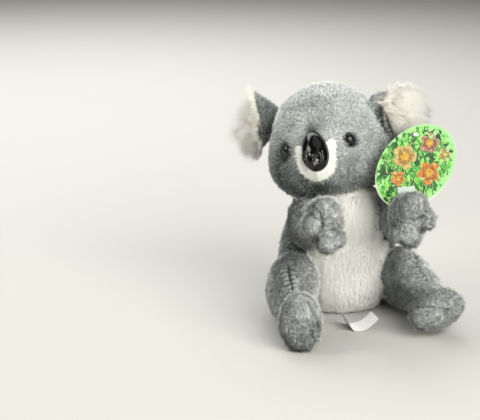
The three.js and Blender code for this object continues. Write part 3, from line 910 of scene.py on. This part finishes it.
# ---- Swing tag ----
# Two oval leaves of white card, printed and laminated in front, die-cut with a hole near the top edge. The
# print is leaves and five-petalled blossoms round a bare panel, inside a pale rim.
CARD = (25 * MM, 33.5 * MM)
CARD_ROLL = radians(50)
CARD_TURN = (radians(90 - 12), 0, 0)
LEAF = 0.24 * MM
LEAF_GAP = 0.1 * MM
REAR_SHIFT = Vector((-0.3, -0.75)) * MM
CARD_EDGE = 0.05 * MM
PUNCH = 1.6 * MM
PUNCH_PLACE = (0, 22 * MM, 0)
card_place = Vector(centre("swing_tag"))
card_frame = Matrix.LocRotScale(card_place, Euler(CARD_TURN), None)

# The print's sizes and places are in millimetres on the card.
GREENS = ((0.1, "#123c18"), (0.4, "#237a28"), (0.65, "#4aa834"), (0.9, "#86cf5a"))
BLOSSOMS = (
    ((-8.0, 7.0), 9.0, 20, ("#c4a765", "#84602a")),
    ((9.5, -5.5), 8.5, 70, ("#cc7a28", "#8e430f")),
    ((11.0, 15.5), 7.5, 5, ("#ad8074", "#663b32")),
    ((-13.5, -8.0), 5.5, 50, ("#d08636", "#944a14")),
    ((22.0, 7.0), 5.0, 30, ("#ac9960", "#6e5a2c")),
)
SLUR = 3.4
BARE_PLACE, BARE_HALF = (-8.0, -17.5), (6.5, 3.5)


def leaves(tree, card, turn, long, broad):
    """Pointed leaves that lie one way: where they are, and their colour with a pale rib."""
    laid = node(tree, "Mapping", card, Rotation=(0, 0, radians(turn)), Scale=(1 / broad, 1 / long, 1))
    cells = node(tree, "TexVoronoi", laid, voronoi_dimensions="2D", Scale=1.0)
    inside = node(tree, "VectorMath", laid, cells.outputs["Position"], operation="SUBTRACT")
    part = node(tree, "SeparateXYZ", inside)
    aside = node(tree, "Math", part.outputs["X"], operation="ABSOLUTE")
    ahead = node(tree, "Math", part.outputs["Y"], part.outputs["Y"], operation="MULTIPLY")
    point = node(tree, "Math", ahead, 1.5, aside, operation="MULTIPLY_ADD")
    blade = node(tree, "Math", point, 0.4, operation="LESS_THAN")
    rib = node(tree, "Math", aside, 0.045, operation="LESS_THAN")
    dye = node(tree, "SeparateColor", cells.outputs["Color"])
    shade = node(tree, "Math", part.outputs["X"], 0.35, dye, operation="MULTIPLY_ADD")
    tint = node(tree, "ValToRGB", shade, stops=GREENS)
    return blade, node(tree, "Mix", data_type="RGBA", Factor=rib, A=tint, B="#a3cf70")


def blossom(tree, card, under, place, size, turn, petals):
    """A flower of five petals with a golden heart, over the colour under it."""
    apart = node(tree, "VectorMath", card, (*place, 0), operation="SUBTRACT")
    far = node(tree, "VectorMath", apart, operation="LENGTH")
    part = node(tree, "SeparateXYZ", apart)
    angle = node(tree, "Math", part.outputs["Y"], part.outputs["X"], operation="ARCTAN2")
    swing = node(tree, "Math", angle, 5 / 2, radians(turn), operation="MULTIPLY_ADD")
    petal = node(tree, "Math", node(tree, "Math", swing, operation="COSINE"), operation="ABSOLUTE")
    bow = node(tree, "Math", petal, 0.5, operation="POWER")
    edge = node(tree, "Math", bow, 0.45 * size, 0.55 * size, operation="MULTIPLY_ADD")
    out = node(tree, "Math", far, edge, operation="DIVIDE")
    inner = node(tree, "Math", 1.0, out, operation="SUBTRACT")
    between = node(tree, "Math", 1.0, petal, operation="SUBTRACT")
    tone = node(tree, "Math", between, 0.25, inner, operation="MULTIPLY_ADD")
    light, deep = petals
    tint = node(tree, "ValToRGB", tone, stops=((0.0, deep), (0.12, light), (0.55, deep), (0.78, "#bd8f26")))
    mask = node(tree, "Math", inner, 0.0, operation="GREATER_THAN")
    return node(tree, "Mix", data_type="RGBA", Factor=mask, A=under, B=tint)


def printed_card():
    """Coated card, printed in colour under clear film, which gives it a soft bright gloss."""
    made, tree = material("printed_card_laminated")
    place = node(tree, "TexCoord").outputs["Object"]
    laid = {"Location": card_place, "Rotation": CARD_TURN, "Scale": (MM, MM, MM)}
    card = node(tree, "Mapping", place, vector_type="TEXTURE", **laid)
    grain = node(tree, "TexNoise", card, Scale=1 / 3.5, Detail=3.0)
    slur = node(tree, "VectorMath", grain.outputs["Color"], operation="SCALE", Scale=SLUR)
    card = node(tree, "VectorMath", card, slur, operation="ADD")
    card = node(tree, "VectorMath", card, (SLUR / 2,) * 3, operation="SUBTRACT")
    patches = node(tree, "TexNoise", card, Scale=1 / 14, Detail=2.0)
    ground = node(tree, "ValToRGB", patches, stops=((0.4, "#0f3316"), (0.5, "#1f6a26"), (0.62, "#57a838")))
    blade, tint = leaves(tree, card, 28, 9.0, 4.2)
    colour = node(tree, "Mix", data_type="RGBA", Factor=blade, A=ground, B=tint)
    blade, tint = leaves(tree, card, -52, 7.0, 3.4)
    light_half = node(tree, "Math", patches, 0.5, operation="GREATER_THAN")
    blade = node(tree, "Math", blade, light_half, operation="MULTIPLY")
    colour = node(tree, "Mix", data_type="RGBA", Factor=blade, A=colour, B=tint)
    for place, size, turn, petals in BLOSSOMS:
        colour = blossom(tree, card, colour, place, size, turn, petals)
    strokes = node(tree, "TexNoise", card, Scale=1 / 1.6, Detail=2.0)
    for side, level, ink in (("GREATER_THAN", 0.62, "#c9dc8e"), ("LESS_THAN", 0.4, "#123a20")):
        stroke = node(tree, "Math", strokes, level, operation=side)
        stroke = node(tree, "Math", stroke, 0.45, operation="MULTIPLY")
        colour = node(tree, "Mix", data_type="RGBA", Factor=stroke, A=colour, B=ink)
    part = node(tree, "SeparateXYZ", card)
    bare = 1.0
    for axis, middle, half in zip("XY", BARE_PLACE, BARE_HALF):
        off = node(tree, "Math", part.outputs[axis], middle, operation="SUBTRACT")
        off = node(tree, "Math", off, operation="ABSOLUTE")
        within = node(tree, "Math", off, half, operation="LESS_THAN")
        bare = node(tree, "Math", bare, within, operation="MULTIPLY")
    colour = node(tree, "Mix", data_type="RGBA", Factor=bare, A=colour, B="#b4c2b6")
    laid = {"Rotation": (0, 0, -CARD_ROLL), "Scale": (CARD[0] / MM, CARD[1] / MM, 1)}
    oval = node(tree, "Mapping", card, vector_type="TEXTURE", **laid)
    reach = node(tree, "VectorMath", oval, operation="LENGTH")
    reach = node(tree, "Math", part.outputs["X"], 0.002, reach, operation="MULTIPLY_ADD")
    rim = node(tree, "Math", reach, 0.985, operation="GREATER_THAN")
    colour = node(tree, "Mix", data_type="RGBA", Factor=rim, A=colour, B="#8fc97e")
    film = {"Specular_IOR_Level": 0.15, "Coat_Weight": 0.12, "Coat_Roughness": 0.1}
    node(tree, "OutputMaterial", node(tree, "BsdfPrincipled", colour, Roughness=0.45, **film))
    return made


def card_leaf(name, shift, low):
    """One oval leaf of the tag, LEAF thick from that height over the card's middle plane, with its hole."""
    bpy.ops.mesh.primitive_circle_add(vertices=128, radius=1, fill_type="NGON")
    leaf = bpy.context.object
    leaf.name = leaf.data.name = name
    leaf.scale = (*CARD, 1)
    leaf.rotation_euler = (0, 0, -CARD_ROLL)
    bpy.ops.object.transform_apply()
    bpy.ops.object.mode_set(mode="EDIT")
    bpy.ops.mesh.select_all(action="SELECT")
    bpy.ops.mesh.extrude_region_move(TRANSFORM_OT_translate={"value": (0, 0, LEAF)})
    bpy.ops.mesh.select_all(action="SELECT")
    bpy.ops.mesh.normals_make_consistent(inside=False)
    bpy.ops.object.mode_set(mode="OBJECT")
    modify(leaf, "BEVEL", width=CARD_EDGE, segments=1, limit_method="ANGLE")
    bpy.ops.mesh.primitive_cylinder_add(vertices=24, radius=PUNCH, depth=5 * MM, location=PUNCH_PLACE)
    punch = bpy.context.object
    modify(leaf, "BOOLEAN", operation="DIFFERENCE", object=punch, solver="EXACT")
    bpy.data.objects.remove(punch)
    leaf.matrix_world = card_frame @ Matrix.Translation((*shift, low))
    only(leaf)
    bpy.ops.object.transform_apply()
    leaf.data.materials.append(card_back)
    leaf.data.materials.append(card_front)
    ahead = card_frame.to_3x3() @ Vector((0, 0, 1))
    for side in leaf.data.polygons:
        side.material_index = int(name.endswith("front") and side.normal @ ahead > 0.9)
    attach(leaf, "root")
    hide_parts("swing_tag")


card_front = printed_card()
# Uncoated back and cut edges of the card, whose fibres cloud it faintly.
card_back = clouded("card_white", 1 / (1.5 * MM), 3.0, ((0.3, "#ebe9e2"), (0.7, "#f6f5f0")), Roughness=0.7)
card_leaf("swing_tag_front", (0, 0), LEAF_GAP / 2)
card_leaf("swing_tag_rear", REAR_SHIFT, -LEAF - LEAF_GAP / 2)

# ---- Tag pin ----
# A fastener of clear nylon, moulded in one piece. A tagging gun shot it through the tag and the cloth of the
# ear, and its flat bar lies in front of the tag.
SHARP = radians(40)

# Milky clear nylon: light goes into it and comes out soft.
milky = {"Roughness": 0.28, "IOR": 1.53, "Transmission_Weight": 0.4}
clear_nylon = clouded("clear_nylon", 1 / (2 * MM), 2.0, ((0.3, "#e6eae6"), (0.7, "#f7f9f7")), **milky)
pin = welded("tag_pin")
pin.name = pin.data.name = "tag_pin_moulded"
modify(pin, "BEVEL", width=0.12 * MM, segments=2, limit_method="ANGLE", angle_limit=SHARP)
bpy.ops.object.shade_smooth_by_angle(angle=SHARP)
pin.data.materials.append(clear_nylon)
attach(pin, "root")
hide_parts("tag_pin")

# ---- Care label ----
# A bare ribbon of white polyester satin, sewn in under the belly. It drops from its seam to the floor, lies
# there and curls up at its free end.
LABEL_FALL, LABEL_FALL_SHARE = 9 * MM, 0.25
LABEL_CURL, LABEL_CURL_SHARE = 8 * MM, 0.6
LABEL_COCKLE, LABEL_COCKLE_LEAST = 0.25 * MM, -0.1 * MM
LABEL_LIFT = 0.4 * MM
SATIN_THICK = 0.2 * MM
THREAD = 0.5 * MM


def satin():
    """White polyester satin: glossy threads along the ribbon, drawn five times coarser than real ones."""
    made, tree = material("polyester_satin_white")
    place = node(tree, "TexCoord").outputs["Object"]
    waved = node(tree, "TexWave", place, bands_direction="Y", Scale=1 / (10 * THREAD), Distortion=1.5)
    threads = waved.outputs["Fac"]
    bump = node(tree, "Bump", Height=threads, Strength=0.15, Distance=0.1 * MM)
    tint = node(tree, "ValToRGB", threads, stops=((0.2, "#eeeeea"), (0.8, "#fafaf8")))
    shader = node(tree, "BsdfPrincipled", tint, Normal=bump, Roughness=0.38, Sheen_Weight=0.2)
    node(tree, "OutputMaterial", shader)
    return made


bpy.ops.mesh.primitive_grid_add(x_subdivisions=56, y_subdivisions=16, size=1)
label = bpy.context.object
label.name = label.data.name = "care_label_ribbon"
label_low, label_high = [np.array(corner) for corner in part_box("care_label")]
along, across_it = places(label.data)[:, 0] + 0.5, places(label.data)[:, 1] + 0.5
fall = LABEL_FALL * np.maximum(0, 1 - along / LABEL_FALL_SHARE) ** 2
curl = LABEL_CURL * np.maximum(0, 1 - (1 - along) / LABEL_CURL_SHARE) ** 2
cockle = LABEL_COCKLE * np.sin(2 * pi * (along * 1.3 + across_it * 0.6)) * np.sin(pi * along)
ribbon = np.stack([along, across_it, along], 1) * (label_high - label_low) + label_low
ribbon[:, 2] = LABEL_LIFT + fall + curl + np.maximum(cockle, LABEL_COCKLE_LEAST)
move_to(label.data, ribbon)
edge = ribbon[across_it < 0.01]
edge = edge[edge[:, 0].argsort()]
modify(label, "SOLIDIFY", thickness=SATIN_THICK, offset=0)
bpy.ops.object.shade_smooth_by_angle(angle=SHARP)
label.data.materials.append(satin())
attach(label, "root")
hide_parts("care_label")
